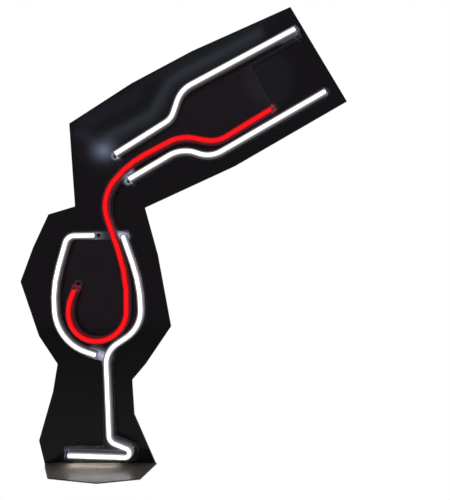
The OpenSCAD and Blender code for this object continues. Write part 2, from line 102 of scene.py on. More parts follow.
def in_front(x, z, y=GROOVE_FLOOR):
    return Vector((x, y, z)) * MM


# %% [markdown]
# ## Following a route
# A flat ring of edges can be pulled along a route: pushed straight along each line and spun round the
# centre of each bend. Blender's curve bevel would do it too, but it twists a section that is not round,
# and the crown of a light tube must face forwards all the way. `legs` turns the corners into lines and
# bends, and `sweep` pulls the ring.

# %% Lines and bends
NEARLY_STRAIGHT = 0.003
FINEST_TUBE_BEND, FINEST_LEAD_BEND = radians(7), radians(18)
SHARP_EDGE = radians(32)


def legs(corners, radii):
    """Straight moves ("line", step) and turns ("bend", centre, axis, angle) through 3-D corners."""
    steps, here = [], corners[0]
    for before, corner, after, radius in zip(corners, corners[1:], corners[2:], radii[1:]):
        arriving, leaving = (corner - before).normalized(), (after - corner).normalized()
        turn = arriving.angle(leaving)
        if turn < NEARLY_STRAIGHT:
            continue
        start = corner - arriving * radius * tan(turn / 2)
        axis = arriving.cross(leaving).normalized()
        if (start - here).length > 1e-6:
            steps.append(("line", start - here))
        steps.append(("bend", start + axis.cross(arriving) * radius, axis, turn))
        here = corner + leaving * radius * tan(turn / 2)
    steps.append(("line", corners[-1] - here))
    return steps


def sweep(bm, ring, steps, finest=FINEST_TUBE_BEND):
    """Pulls a ring of edges along the steps and gives back the last ring."""
    for step in steps:
        if step[0] == "line":
            made = bmesh.ops.extrude_edge_only(bm, edges=ring)["geom"]
            verts = [g for g in made if isinstance(g, bmesh.types.BMVert)]
            bmesh.ops.translate(bm, verts=verts, vec=step[1])
        else:
            verts = list({v for e in ring for v in e.verts})
            made = bmesh.ops.spin(bm, geom=verts + ring, cent=step[1], axis=step[2], dvec=(0, 0, 0),
                                  angle=step[3], steps=max(3, round(step[3] / finest)))["geom_last"]
        ring = [g for g in made if isinstance(g, bmesh.types.BMEdge)]
    return ring


def into_object(bm, name):
    """Finishes a bmesh: normals out, smooth faces, hard edges kept, an object in the scene."""
    bmesh.ops.recalc_face_normals(bm, faces=bm.faces)
    for face in bm.faces:
        face.smooth = True
    for edge in bm.edges:
        if len(edge.link_faces) == 2 and edge.calc_face_angle(0) > SHARP_EDGE:
            edge.smooth = False
    mesh = bpy.data.meshes.new(name)
    bm.to_mesh(mesh)
    bm.free()
    made = bpy.data.objects.new(name, mesh)
    bpy.context.scene.collection.objects.link(made)
    return made


# %% [markdown]
# ## Shared effects for the materials
# Three effects come back in many finishes: a fine grain that breaks up a moulded or cast surface, a slow
# drift in tone, and a value that depends on how far forwards a point is, which tells a tube's crown from
# its flanks and a milled groove from the polished face of the plate. Each is a node group with named
# inputs, placed where needed.

# %% Node groups
def new_group(name, inputs, outputs):
    group = bpy.data.node_groups.new(name, "ShaderNodeTree")
    for label, value in inputs:
        kind = "NodeSocketVector" if isinstance(value, tuple) else "NodeSocketFloat"
        group.interface.new_socket(label, in_out="INPUT", socket_type=kind).default_value = value
    for label in outputs:
        group.interface.new_socket(label, in_out="OUTPUT", socket_type="NodeSocketFloat")
    return group, group.nodes.new("NodeGroupInput"), group.nodes.new("NodeGroupOutput")


def make_grain():
    group, given, out = new_group("grain", [("Scale", 900.0), ("Drift Scale", 12.0)], ["Fine", "Drift"])
    place = group.nodes.new("ShaderNodeTexCoord")
    for label, detail in (("Fine", 3.0), ("Drift", 2.0)):
        noise = group.nodes.new("ShaderNodeTexNoise")
        noise.inputs["Detail"].default_value = detail
        group.links.new(place.outputs["Object"], noise.inputs["Vector"])
        group.links.new(given.outputs["Scale" if label == "Fine" else "Drift Scale"], noise.inputs["Scale"])
        group.links.new(noise.outputs["Fac"], out.inputs[label])
    return group


def make_forwards():
    group, given, out = new_group("forwards", [("Back", -0.037), ("Front", -0.049)], ["Amount"])
    place = group.nodes.new("ShaderNodeTexCoord")
    split = group.nodes.new("ShaderNodeSeparateXYZ")
    spread = group.nodes.new("ShaderNodeMapRange")
    group.links.new(place.outputs["Object"], split.inputs["Vector"])
    group.links.new(split.outputs["Y"], spread.inputs["Value"])
    group.links.new(given.outputs["Back"], spread.inputs["From Min"])
    group.links.new(given.outputs["Front"], spread.inputs["From Max"])
    group.links.new(spread.outputs["Result"], out.inputs["Amount"])
    return group


FALL_OFF = 1.6  # power of the fade with distance; 1 would be a straight fall


def make_beside():
    """1 on the straight line between two points, falling to 0 at the given reach from it."""
    inputs = [("From", (0, 0, 0)), ("To", (0, 0, 1)), ("Reach", 0.01)]
    group, given, out = new_group("beside", inputs, ["Amount"])
    link = group.links.new

    def vector(operation, first, second, result="Vector"):
        node = group.nodes.new("ShaderNodeVectorMath")
        node.operation = operation
        link(first, node.inputs[0])
        if second is not None:
            link(second, node.inputs["Scale"] if operation == "SCALE" else node.inputs[1])
        return node.outputs[result]

    def number(operation, first, second, clamp=False):
        node = group.nodes.new("ShaderNodeMath")
        node.operation, node.use_clamp = operation, clamp
        for socket, value in zip(node.inputs, (first, second)):
            if isinstance(value, (int, float)):
                socket.default_value = value
            else:
                link(value, socket)
        return node.outputs["Value"]

    place = group.nodes.new("ShaderNodeTexCoord")
    from_start = vector("SUBTRACT", place.outputs["Object"], given.outputs["From"])
    span = vector("SUBTRACT", given.outputs["To"], given.outputs["From"])
    share = number("DIVIDE", vector("DOT_PRODUCT", from_start, span, "Value"),
                   vector("DOT_PRODUCT", span, span, "Value"), clamp=True)
    away = vector("LENGTH", vector("SUBTRACT", from_start, vector("SCALE", span, share)), None, "Value")
    near = number("SUBTRACT", 1.0, number("DIVIDE", away, given.outputs["Reach"]), clamp=True)
    link(number("POWER", near, FALL_OFF), out.inputs["Amount"])
    return group


GRAIN, FORWARDS, BESIDE = make_grain(), make_forwards(), make_beside()
print("shared effects:", GRAIN.name, FORWARDS.name, BESIDE.name)


# %% [markdown]
# ## A material to start from
# Every real surface here is one body under one skin, which Blender's Principled shader describes. Wiring
# its nodes by hand would repeat the same lines in each finish, so a small class holds the shader and the
# few moves that are needed: place a shared effect, turn a value into a colour or a range, and feed it to
# a socket.

# %% A material to start from
class Finish:
    """A Principled material with short ways to add the shared effects to it."""

    def __init__(self, name, colour, roughness, **sockets):
        self.material = bpy.data.materials.new(name)
        self.material.use_nodes = True
        self.tree = self.material.node_tree
        self.shader = self.tree.nodes["Principled BSDF"]
        self.shader.inputs["Base Color"].default_value = (*colour, 1)
        self.shader.inputs["Roughness"].default_value = roughness
        for label, value in sockets.items():
            self.shader.inputs[label.replace("_", " ")].default_value = value

    def group(self, group, **values):
        node = self.tree.nodes.new("ShaderNodeGroup")
        node.node_tree = group
        for label, value in values.items():
            node.inputs[label.replace("_", " ")].default_value = value
        return node

    def ramp(self, source, stops):
        node = self.tree.nodes.new("ShaderNodeValToRGB")
        while len(node.color_ramp.elements) < len(stops):
            node.color_ramp.elements.new(0.5)
        for element, (at, colour) in zip(node.color_ramp.elements, stops):
            element.position = at
            element.color = (*colour, 1)
        self.tree.links.new(source, node.inputs["Fac"])
        return node.outputs["Color"]

    def between(self, source, low, high):
        node = self.tree.nodes.new("ShaderNodeMapRange")
        node.inputs["To Min"].default_value = low
        node.inputs["To Max"].default_value = high
        self.tree.links.new(source, node.inputs["Value"])
        return node.outputs["Result"]

    def feed(self, source, label):
        self.tree.links.new(source, self.shader.inputs[label])

    def bump(self, source, depth, strength=1.0):
        node = self.tree.nodes.new("ShaderNodeBump")
        node.inputs["Distance"].default_value = depth
        node.inputs["Strength"].default_value = strength
        self.tree.links.new(source, node.inputs["Height"])
        self.feed(node.outputs["Normal"], "Normal")


# %% [markdown]
# ## Lit silicone
# The tube is milky silicone with LEDs deep inside. Light leaves it mostly through the crown, so the crown
# is far brighter than anything else, the shoulders fall off quickly, and the flanks only glow faintly. An
# emission that depends on how far forwards a point is gives that. The alternative, real lamps inside
# scattering silicone, needs far more samples.

# %% Lit silicone, white and red
def lit_silicone(name, crown, flank, strength, flank_and_crown_colours):
    finish = Finish(name, flank_and_crown_colours[1], 0.42, Emission_Strength=strength)
    crown_top = GROOVE_FLOOR - TUBE_H
    amount = finish.group(FORWARDS, Back=PLATE_FRONT * MM, Front=crown_top * MM).outputs["Amount"]
    shades = [(0, 0.02, flank), (0.58, 0.04, flank), (0.69, 0.055, flank), (0.82, 0.08, crown),
              (0.893, 0.21, crown), (0.935, 0.46, crown), (0.966, 0.95, crown), (1.0, strength, crown)]
    stops = [(at, [c * level / strength for c in colour]) for at, level, colour in shades]
    finish.feed(finish.ramp(amount, stops), "Emission Color")
    # Base colour steps from the flank colour to the crown colour; on the white tube the darker flanks are
    # painted shade.
    finish.feed(finish.ramp(amount, [(0, flank_and_crown_colours[0]), (0.7, flank_and_crown_colours[0]), (0.9, flank_and_crown_colours[1])]),
                "Base Color")
    grain = finish.group(GRAIN, Scale=700, Drift_Scale=25)
    finish.feed(finish.between(grain.outputs["Drift"], 0.36, 0.5), "Roughness")
    finish.bump(grain.outputs["Fine"], 0.00004, 0.4)
    return finish.material


# the white tube's darker flank colour, 0.2 against the crown's 0.6, is painted shade
silicone_white = lit_silicone("lit white silicone", (1, 1, 1), (0.97, 0.95, 1.0), 8.0,
                              [(0.2, 0.19, 0.21), (0.6, 0.6, 0.6)])
silicone_red = lit_silicone("lit red silicone", (1, 0.002, 0.004), (1, 0.06, 0.09), 2.6,
                            [(0.3, 0.12, 0.15), (0.3, 0.004, 0.006)])
print("made:", silicone_white.name, "and", silicone_red.name)

# %% [markdown]
# ## The light tubes
# The section is a rectangle whose two front corners are rounded so far that they almost meet, which
# makes a nearly half-round crown, with a channel let in from the back for the LED tape. Bevelling a
# rectangle gives that shape, and the ring of its edges is then swept along the route.

# %% Section and sweep of one tube
CROWN_ROUNDING = 0.488  # of the width; half would leave no face between the two roundings
CHANNEL_HALF, CHANNEL_DEEP = 2.7 * MM, 4 * MM


def tube_ring(bm, width, height, channel):
    """Edges of a tube's section in the XY plane: crown towards +Y, a channel cut in from y = 0."""
    bmesh.ops.create_grid(bm, x_segments=1, y_segments=1, size=0.5)
    bmesh.ops.scale(bm, verts=bm.verts, vec=(width, height, 1))
    bmesh.ops.translate(bm, verts=bm.verts, vec=(0, height / 2, 0))
    top = [v for v in bm.verts if v.co.y > height / 2]
    bmesh.ops.bevel(bm, geom=top, affect="VERTICES", offset=width * CROWN_ROUNDING,
                    offset_type="OFFSET", segments=9, profile=0.5, material=-1)
    if channel:
        foot = [e for e in bm.edges if max(v.co.y for v in e.verts) < height * 0.01]
        cut = bmesh.ops.subdivide_edges(bm, edges=foot, cuts=4)["geom_inner"]
        cut = sorted((g for g in cut if isinstance(g, bmesh.types.BMVert)), key=lambda v: v.co.x)
        half, deep = channel
        for vert, (x, y) in zip(cut, ((-half, 0), (-half, deep), (half, deep), (half, 0))):
            vert.co = Vector((x, y, 0))
    bmesh.ops.delete(bm, geom=list(bm.faces), context="FACES_ONLY")
    return list(bm.edges)


def stand_at(bm, start, towards):
    """Turns a section drawn in XY so that +Y faces forwards and the sweep leaves along towards."""
    side = Vector((-towards.z, 0, towards.x))
    turn = Matrix((side, Vector((0, -1, 0)), towards)).transposed().to_4x4()
    bmesh.ops.transform(bm, matrix=Matrix.Translation(start) @ turn, verts=bm.verts)


def light_tube(name, route, material):
    corners = [in_front(x, z) for x, z, radius in route]
    bm = bmesh.new()
    first = tube_ring(bm, TUBE_W * MM, TUBE_H * MM, (CHANNEL_HALF, CHANNEL_DEEP))
    stand_at(bm, corners[0], (corners[1] - corners[0]).normalized())
    last = sweep(bm, first, legs(corners, [radius * MM for x, z, radius in route]))
    for ring in (first, last):
        bmesh.ops.edgeloop_fill(bm, edges=ring)
    made = into_object(bm, name)
    made.data.materials.append(material)
    return made


for run, route in ROUTES.items():
    tube = light_tube("light_tube_" + run, route, silicone_red if run == "wine" else silicone_white)
    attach(tube, "sign")
    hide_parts("tube_" + run)
    print(tube.name, len(tube.data.polygons), "faces")

# %% [markdown]
# ## Clear end caps
# Each tube ends in a short plug of clear silicone. Its section is the tube's own without the channel, and
# the outer rim is rounded where it was trimmed. The plugs of the red tube are longer, and a mottled red
# glow in their finish stands for the light that reaches them. The white ones glow where two tubes end
# close together, at the bottle's mouth.

# %% End caps
SILICONE_IOR = 1.41
MOUTH_TOP, MOUTH_BASE, MOUTH_REACH = in_front(-71.5, -59.5, -42), in_front(-58, -85.5, -42), 12 * MM

cap_white = Finish("clear silicone beside white light", (0.3, 0.31, 0.35), 0.3, Transmission_Weight=0.5,
                   IOR=SILICONE_IOR, Emission_Strength=1.0)
mouth = cap_white.group(BESIDE, From=MOUTH_TOP, To=MOUTH_BASE, Reach=MOUTH_REACH)
mouth_glow = [(0.05, (0.07, 0.075, 0.095)), (0.4, (0.3, 0.32, 0.4)), (0.9, (0.62, 0.64, 0.8))]
cap_white.feed(cap_white.ramp(mouth.outputs["Amount"], mouth_glow), "Emission Color")
cap_grain = cap_white.group(GRAIN, Scale=500, Drift_Scale=160)
cap_white.feed(cap_white.between(cap_grain.outputs["Drift"], 0.12, 0.34), "Roughness")
cap_white.bump(cap_grain.outputs["Fine"], 0.00008)

cap_red = Finish("clear silicone beside red light", (0.3, 0.12, 0.14), 0.25, Transmission_Weight=0.4,
                 IOR=SILICONE_IOR, Emission_Strength=1.0)
cap_grain = cap_red.group(GRAIN, Scale=420, Drift_Scale=230)
red_glow = [(0.35, (0.02, 0.002, 0.003)), (0.52, (0.10, 0.008, 0.012)), (0.66, (0.35, 0.03, 0.045))]
cap_red.feed(cap_red.ramp(cap_grain.outputs["Drift"], red_glow), "Emission Color")
cap_red.bump(cap_grain.outputs["Fine"], 0.00008)

CAPS = {run: (5, 5) if run == "wine" else (1.2, 1.6) for run in ROUTES}
TRIMMED_RIM = 0.7


def end_cap(bm, at, outwards, length):
    piece = bmesh.new()
    ring = tube_ring(piece, TUBE_W * MM, TUBE_H * MM, None)
    stand_at(piece, at, outwards)
    last = sweep(piece, ring, [("line", outwards * length * MM)])
    for loop in (ring, last):
        bmesh.ops.edgeloop_fill(piece, edges=loop)
    rim = [e for e in piece.edges if all((v.co - at).dot(outwards) > length * MM * 0.9 for v in e.verts)]
    bmesh.ops.bevel(piece, geom=rim, affect="EDGES", offset=min(TRIMMED_RIM, length / 3) * MM,
                    offset_type="OFFSET", segments=3, profile=0.5, material=-1)
    mesh = bpy.data.meshes.new("cap")
    piece.to_mesh(mesh)
    piece.free()
    bm.from_mesh(mesh)
    bpy.data.meshes.remove(mesh)


for run, route in ROUTES.items():
    ends = [in_front(x, z) for x, z, radius in route]
    bm = bmesh.new()
    for at, inner, length in ((ends[0], ends[1], CAPS[run][0]), (ends[-1], ends[-2], CAPS[run][1])):
        end_cap(bm, at, (at - inner).normalized(), length)
    caps = into_object(bm, "end_caps_" + run)
    caps.data.materials.append((cap_red if run == "wine" else cap_white).material)
    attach(caps, "sign")
    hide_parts("caps_" + run)
print("end caps made:", 2 * len(ROUTES))

# %% [markdown]
# ## The leads
# A red and a black lead leave the channel of each tube, dive through the plate and the panel beside the
# cap, and run along the panel's back to the control box. A lead is a round ring swept along corners in
# space with the same `legs` and `sweep` as the tubes, so it bends smoothly at every corner.

# %% Leads
LEAD_R, HALF_PITCH = 0.8, 1.2
INSIDE_TUBE, PAST_CAP = 3, 1.4
IN_CHANNEL_Y, PANEL_BACK_Y, BEHIND_Y, BOARD_Y = -39, -25, -21, -18.7
LEAD_BACK = {
    "bottle_top": [(-73.2, -164, 0)],
    "bottle_base": [(-59.2, -164, 0)],
    "wine": [(-94, -192.6, 0)],
    "glass_bowl": [(-90.4, -164, 0)],
    "glass_stem": [(-122.1, -296, 8), (-92, -258, 8), (-92, -222, 0)],
}


def beside(points, shift):
    """The same flat line of points, moved sideways by shift."""
    moved = []
    for i, point in enumerate(points):
        arrive = (point - points[max(i - 1, 0)]) if i else (points[1] - point)
        leave = (points[i + 1] - point) if i + 1 < len(points) else arrive
        a, b = arrive.normalized(), leave.normalized()
        a, b = Vector((-a.z, 0, a.x)), Vector((-b.z, 0, b.x))
        moved.append(point + (a + b) * shift / (1 + a.dot(b)))
    return moved


def at_depth(point, y):
    return Vector((point.x, y, point.z))


def lead(bm, run, side):
    """One lead of a run, worked out in millimetres; side is 1 for the red one and -1 for the black one."""
    route = ROUTES[run]
    end, inner = Vector((route[0][0], 0, route[0][1])), Vector((route[1][0], 0, route[1][1]))
    along = (inner - end).normalized()
    across = Vector((-along.z, 0, along.x)) * HALF_PITCH * side
    dive = end - along * (CAPS[run][0] + PAST_CAP)
    flat = [dive] + [Vector((x, 0, z)) for x, z, radius in LEAD_BACK[run]]
    swap = -1 if along.dot(flat[1] - flat[0]) < -0.01 else 1
    back = beside(flat, HALF_PITCH * side * swap)
    corners = [at_depth(end + along * INSIDE_TUBE + across, IN_CHANNEL_Y),
               at_depth(dive + across, IN_CHANNEL_Y), at_depth(dive + across, PANEL_BACK_Y)]
    radii = [0, 1.0, 0.8]
    corners += [at_depth(point, BEHIND_Y) for point in back] + [at_depth(back[-1], BOARD_Y)]
    radii += [1.0] + [max(radius, 1.2) for x, z, radius in LEAD_BACK[run]] + [0]
    corners = [corner * MM for corner in corners]
    made = bmesh.ops.create_circle(bm, segments=12, radius=LEAD_R * MM, cap_ends=False)["verts"]
    ring = list({e for v in made for e in v.link_edges})
    turn = Vector((0, 0, 1)).rotation_difference((corners[1] - corners[0]).normalized()).to_matrix().to_4x4()
    bmesh.ops.transform(bm, matrix=Matrix.Translation(corners[0]) @ turn, verts=made)
    last = sweep(bm, ring, legs(corners, [r * MM for r in radii]), FINEST_LEAD_BEND)
    for loop in (ring, last):
        bmesh.ops.edgeloop_fill(bm, edges=loop)


def insulation(name, colour):
    finish = Finish(name, colour, 0.32, Coat_Weight=0.15)
    grain = finish.group(GRAIN, Scale=1500, Drift_Scale=60)
    finish.feed(finish.between(grain.outputs["Drift"], 0.26, 0.42), "Roughness")
    finish.bump(grain.outputs["Fine"], 0.00003, 0.5)
    return finish.material


for side, colour, tone in ((1, "red", (0.62, 0.012, 0.014)), (-1, "black", (0.012, 0.012, 0.014))):
    bm = bmesh.new()
    for run in ROUTES:
        lead(bm, run, side)
    leads = into_object(bm, "pair_leads_" + colour)
    leads.data.materials.append(insulation(colour + " insulation", tone))
    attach(leads, "sign")
    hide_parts("leads_" + colour)
    print(leads.name, len(leads.data.polygons), "faces")

# %% [markdown]
# ## Dimmer knob
# The knob is a moulded cap with finger flutes and a white pointer line. It starts as a 48-sided cylinder
# that tapers a little. Every third side is inset and pushed in for the flutes, and the outer rim is
# bevelled so that it catches light. Cutting the flutes with booleans would leave untidy edges there.

# %% Dimmer knob
CONTROL_Y, KNOB_Z, KNOB_R, TAPER = -14 * MM, -172 * MM, 7.3 * MM, 0.95
FLUTE_RIM, FLUTE_DEEP = 0.14 * MM, 0.45 * MM
POINTER_SIZE, POINTER_UP, POINTER_IN = (0.5 * MM, 0.9 * MM, 4.4 * MM), 4 * MM, 0.2 * MM


def knob(radius, x0, x1, y, z):
    bm = bmesh.new()
    bmesh.ops.create_cone(bm, cap_ends=True, segments=48, radius1=radius, radius2=radius * TAPER,
                          depth=x1 - x0)
    bmesh.ops.transform(bm, verts=bm.verts, matrix=Matrix.Translation(((x0 + x1) / 2, y, z))
                        @ Matrix.Rotation(pi / 2, 4, "Y"))
    middle = Vector(((x0 + x1) / 2, y, z))
    flanks = sorted((f for f in bm.faces if len(f.verts) == 4),
                    key=lambda f: (f.calc_center_median() - middle).yz.angle_signed(Vector((0, 1))))
    rims = [f for f in bm.faces if len(f.verts) > 4]
    flutes = [f for i, f in enumerate(flanks) if i % 3 == 0]
    bmesh.ops.inset_individual(bm, faces=flutes, thickness=FLUTE_RIM, depth=-FLUTE_DEEP)
    top = max(rims, key=lambda f: f.calc_center_median().x)
    bmesh.ops.bevel(bm, geom=list(top.edges), affect="EDGES", offset=0.7 * MM, offset_type="OFFSET",
                    segments=3, profile=0.5, material=-1)
    top = max((f for f in bm.faces if len(f.verts) > 8), key=lambda f: f.calc_center_median().x)
    bmesh.ops.inset_region(bm, faces=[top], thickness=1.4 * MM, depth=0)
    bmesh.ops.inset_region(bm, faces=[top], thickness=0.3 * MM, depth=-0.3 * MM)
    return bm


low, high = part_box("dimmer_knob")
bm = knob(KNOB_R, low[0], high[0], CONTROL_Y, KNOB_Z)
knob_piece = into_object(bm, "fluted_knob")
bm = bmesh.new()
bmesh.ops.create_cube(bm, size=1)
bmesh.ops.scale(bm, verts=bm.verts, vec=POINTER_SIZE)
bmesh.ops.translate(bm, verts=bm.verts, vec=(high[0] - POINTER_IN, CONTROL_Y, KNOB_Z + POINTER_UP))
bmesh.ops.bevel(bm, geom=list(bm.edges), affect="EDGES", offset=0.12 * MM, offset_type="OFFSET", segments=2,
                profile=0.5, material=-1)
pointer = into_object(bm, "knob_pointer")


# %% [markdown]
# ## Moulded plastics
# The box, its lid, the clips and the bosses are moulded in black plastic with a fine spark-eroded
# texture; the knob is the same plastic, smoother. Grain drives the bump and a slow drift changes the
# gloss, so no face looks dead flat.

# %% Moulded plastics
def moulded(name, colour, rough_from, rough_to, grain_scale=1400, depth=0.00006, specular=0.4):
    finish = Finish(name, colour, rough_to, **{"Specular IOR Level": specular})
    grain = finish.group(GRAIN, Scale=grain_scale, Drift_Scale=18)
    finish.feed(finish.between(grain.outputs["Drift"], rough_from, rough_to), "Roughness")
    lighter = [c * 1.5 + 0.002 for c in colour]
    finish.feed(finish.ramp(grain.outputs["Drift"], [(0.3, colour), (0.75, lighter)]), "Base Color")
    finish.bump(grain.outputs["Fine"], depth)
    return finish.material


black_plastic = moulded("textured black plastic", (0.02, 0.02, 0.022), 0.42, 0.62)
knob_plastic = moulded("knob plastic", (0.022, 0.022, 0.025), 0.3, 0.45, 2200, 0.00003)
white_plastic = moulded("white button plastic", (0.72, 0.72, 0.74), 0.22, 0.34, 1800, 0.00002, 0.5)
part_plastic = moulded("component plastic", (0.035, 0.035, 0.04), 0.35, 0.55, 1100, 0.00005)
blue_plastic = moulded("blue component plastic", (0.04, 0.09, 0.26), 0.3, 0.45, 1500, 0.00003)
foam = moulded("grey foam tape", (0.07, 0.07, 0.075), 0.8, 0.95, 650, 0.0003)

knob_piece.data.materials.append(knob_plastic)
pointer.data.materials.append(white_plastic)
for piece in (knob_piece, pointer):
    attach(piece, "dimmer")
    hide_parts("dimmer_knob")
print("knob:", len(knob_piece.data.polygons), "faces")

# %% [markdown]
# ## Power button
# A short white plunger with a dished face and a rounded rim, on a square stem that reaches into the
# switch. The dish is made by insetting the end face twice and pushing the middle in, which a plain
# cylinder could not show.

# %% Power button
BUTTON_Z, BUTTON_R, BUTTON_LONG = -200 * MM, 4 * MM, 8 * MM
STEM_LONG, STEM_THICK = 7 * MM, 3.4 * MM

low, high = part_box("power_button")
bm = bmesh.new()
bmesh.ops.create_cone(bm, cap_ends=True, segments=40, radius1=BUTTON_R, radius2=BUTTON_R, depth=BUTTON_LONG)
middle = Matrix.Translation((high[0] - BUTTON_LONG / 2, CONTROL_Y, BUTTON_Z))
bmesh.ops.transform(bm, verts=bm.verts, matrix=middle @ Matrix.Rotation(pi / 2, 4, "Y"))
face = max(bm.faces, key=lambda f: f.calc_center_median().x)
bmesh.ops.bevel(bm, geom=list(face.edges), affect="EDGES", offset=0.6 * MM, offset_type="OFFSET", segments=4,
                profile=0.5, material=-1)
face = max((f for f in bm.faces if len(f.verts) > 8), key=lambda f: f.calc_center_median().x)
for thickness, depth in ((0.5, 0), (0.7, -0.25), (0.9, -0.12)):
    bmesh.ops.inset_region(bm, faces=[face], thickness=thickness * MM, depth=depth * MM)
stem = bmesh.ops.create_cube(bm, size=1)["verts"]
bmesh.ops.scale(bm, verts=stem, vec=(STEM_LONG, STEM_THICK, STEM_THICK))
bmesh.ops.translate(bm, verts=stem, vec=(low[0] + STEM_LONG / 2, CONTROL_Y, BUTTON_Z))
button = into_object(bm, "dished_button")
button.data.materials.append(white_plastic)
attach(button, "button")
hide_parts("power_button")
print("button:", len(button.data.polygons), "faces")

# %% [markdown]
# ## Black acrylic
# The panel is cast black acrylic: a very dark body under a hard polished skin. Almost all that is seen of
# it is what it reflects, so the body colour stays near black and the roughness drifts slightly, as fine
# wipe marks do. The ledge has a satin face of a lighter black, which spreads the light above it into one
# broad, soft pool.

# %% Black acrylic, polished and satin
polished = Finish("polished black acrylic", (0.0035, 0.0035, 0.0045), 0.1, **{"Specular IOR Level": 0.8})
grain = polished.group(GRAIN, Scale=420, Drift_Scale=9)
polished.feed(polished.between(grain.outputs["Drift"], 0.05, 0.085), "Roughness")
polished_tones = [(0.3, (0.003, 0.003, 0.004)), (0.7, (0.0045, 0.0045, 0.006))]
polished.feed(polished.ramp(grain.outputs["Drift"], polished_tones), "Base Color")

satin = Finish("satin black acrylic", (0.11, 0.105, 0.098), 0.38, **{"Specular IOR Level": 0.45})
grain = satin.group(GRAIN, Scale=900, Drift_Scale=40)
satin.feed(satin.between(grain.outputs["Drift"], 0.34, 0.42), "Roughness")
satin_tones = [(0.35, (0.10, 0.095, 0.088)), (0.7, (0.12, 0.114, 0.106))]
satin.feed(satin.ramp(grain.outputs["Fine"], satin_tones), "Base Color")
satin.bump(grain.outputs["Fine"], 0.00003, 0.6)
print("made:", polished.material.name, "and", satin.material.name)

# %% [markdown]
# ## Clear acrylic
# The plate is polished in front and behind, but the milling cutter left its grooves and cut edges
# frosted. Light that leaks from the tubes' ends and feet runs inside the plate and comes out as a cool
# grey-blue glow: strongly from the frosted grooves, weakly from polished faces. `forwards` tells groove
# from face, and `beside` fades each glow with the distance from the stretch of tube that feeds it. The
# plate's index of refraction is 1.25 and not acrylic's own 1.49, because at 1.49 it mirrors the room too
# strongly over the black panel.

# %% Clear acrylic with glowing grooves
FAINT_MIRROR_IOR, ACRYLIC_IOR = 1.25, 1.49
FROST_GLOW = 0.06
FROST_BACK, FROST_FRONT = -36.6 * MM, PLATE_FRONT * MM

acrylic = Finish("clear acrylic", (0.96, 0.975, 1.0), 0.02, Transmission_Weight=1.0, IOR=FAINT_MIRROR_IOR,
                 Emission_Strength=1.0)
depth = acrylic.group(FORWARDS, Back=FROST_BACK, Front=FROST_FRONT).outputs["Amount"]
frost = acrylic.ramp(depth, [(0.0, (0, 0, 0)), (0.08, (1, 1, 1)), (0.97, (1, 1, 1)), (1.0, (0, 0, 0))])
acrylic.feed(acrylic.between(frost, 0.015, 0.5), "Roughness")

# stretch of tube (x, z to x, z in mm), reach in mm, glow in the grooves, glow on the polished faces
LEAKS = [
    ((-94, -142.6), (-93, -142.6), 13, 0.5, 0.0), ((-69, -142), (-62, -142.6), 7, 2.6, 0.6),
    ((-94, -264), (-84, -268), 11, 1.6, 0.3), ((-73, -60), (-72, -59.5), 6, 3.0, 0.6),
    ((-60, -86), (-59, -85.5), 6, 3.0, 0.6), ((-64, -79), (-56, -77), 6, 0.8, 0.7),
    ((-122, -367.8), (-66, -369), 8, 0.4, 0.3), ((-66, -362), (-76, -357), 8, 0.4, 0.3),
    ((100, 62), (113, 69.1), 8, 0.5, 0.35), ((140, 2.9), (145, 5.8), 5, 0.15, 0.1),
]


def total(finish, terms):
    """The sum of each source times its weight."""
    result = None
    for source, weight in terms:
        node = finish.tree.nodes.new("ShaderNodeMath")
        node.operation = "MULTIPLY_ADD"
        node.inputs[1].default_value = weight
        finish.tree.links.new(source, node.inputs[0])
        if result is None:
            node.inputs[2].default_value = 0
        else:
            finish.tree.links.new(result, node.inputs[2])
        result = node.outputs["Value"]
    return result


leaks = []
for start, end, reach, groove, face in LEAKS:
    leak = acrylic.group(BESIDE, From=in_front(*start, PLATE_FRONT), To=in_front(*end, PLATE_FRONT),
                         Reach=reach * MM)
    leaks.append((leak.outputs["Amount"], groove, face))
glow = acrylic.tree.nodes.new("ShaderNodeMix")
link = acrylic.tree.links.new
link(frost, glow.inputs["Factor"])
link(total(acrylic, [(amount, face) for amount, groove, face in leaks]), glow.inputs["A"])
link(total(acrylic, [(amount, groove) for amount, groove, face in leaks] + [(frost, FROST_GLOW)]),
     glow.inputs["B"])
grain = acrylic.group(GRAIN, Scale=600, Drift_Scale=260)
mottle = acrylic.tree.nodes.new("ShaderNodeMath")
mottle.operation = "MULTIPLY"
link(glow.outputs["Result"], mottle.inputs[0])
link(acrylic.between(grain.outputs["Drift"], 0.7, 1.3), mottle.inputs[1])
edge_light = [(0.0, (0.0009, 0.0002, 0.0004)), (0.12, (0.033, 0.034, 0.045)),
              (0.8, (0.25, 0.265, 0.345)), (1.0, (0.42, 0.43, 0.5))]
acrylic.feed(acrylic.ramp(mottle.outputs["Value"], edge_light), "Emission Color")
acrylic.bump(grain.outputs["Fine"], 0.00002, 0.3)

spacer_clear = Finish("clear spacer acrylic", (0.94, 0.96, 1.0), 0.03, Transmission_Weight=1.0,
                      IOR=ACRYLIC_IOR)
grain = spacer_clear.group(GRAIN, Scale=800, Drift_Scale=90)
spacer_clear.feed(spacer_clear.between(grain.outputs["Drift"], 0.01, 0.08), "Roughness")
print("glows in the plate:", len(leaks))


# %% [markdown]
# ## Metal, board and LED finishes
# Screws and the socket's pin are zinc-plated steel with a fine grain, the board has green solder mask,
# the LED tape is amber film, and each LED glows in its tube's colour. All are small, so one tone with
# grain and drift is enough.

# %% Metal and board finishes
def metal(name, colour, rough_from, rough_to):
    finish = Finish(name, colour, rough_to, Metallic=1.0)
    grain = finish.group(GRAIN, Scale=2600, Drift_Scale=200)
    finish.feed(finish.between(grain.outputs["Fine"], rough_from, rough_to), "Roughness")
    finish.bump(grain.outputs["Fine"], 0.00002, 0.5)
    return finish.material


